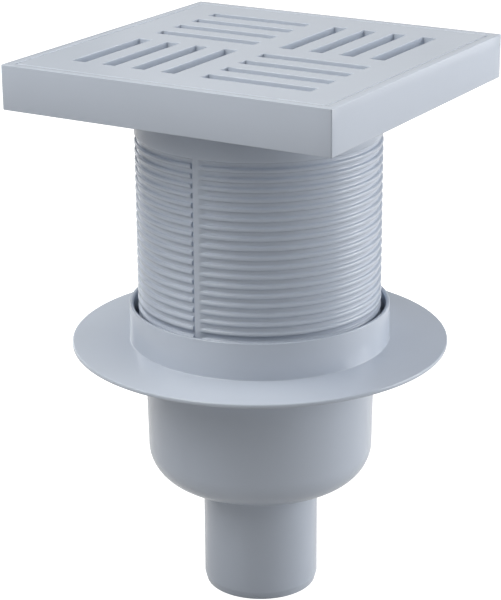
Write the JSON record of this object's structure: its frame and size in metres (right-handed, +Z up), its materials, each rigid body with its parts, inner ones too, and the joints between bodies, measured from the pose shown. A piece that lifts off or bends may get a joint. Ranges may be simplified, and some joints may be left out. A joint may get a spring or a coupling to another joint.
{
  "type": "floor gully trap",
  "caption": "Square floor gully with slotted grate, ribbed height-adjustable neck, flanged trap bowl with bell water seal and vertical outlet spigot.",
  "frame": {"origin": "centre of the outlet spigot's lower end", "axes": "+Z up along the outlet and neck axis; +X and +Y square to the inlet frame's sides; -Y is the face of the frame above the neck's plain strip"},
  "size_m": [0.161, 0.161, 0.2401],
  "materials": {
    "moulding": "satin moulded polypropylene, pale blue-grey",
    "grate": "satin moulded polypropylene, pale blue-grey",
    "bell": "moulded polypropylene, pale blue-grey",
    "seal": "black lip-seal rubber"
  },
  "bodies": {
    "trap": {"trap_body": "moulding", "trap_bell": "bell"},
    "seal": {"neck_seal": "seal"},
    "inlet": {"neck_frame": "moulding", "grate": "grate"}
  },
  "joints": [
    {"name": "neck_height", "type": "slide", "parent": "trap", "child": "seal", "axis": [0, 0, 1], "range_m": [0, 0.009]},
    {"name": "neck_turn", "type": "hinge", "parent": "seal", "child": "inlet", "pos_m": [0, 0, 0.1198], "axis": [0, 0, 1], "continuous": true}
  ]
}
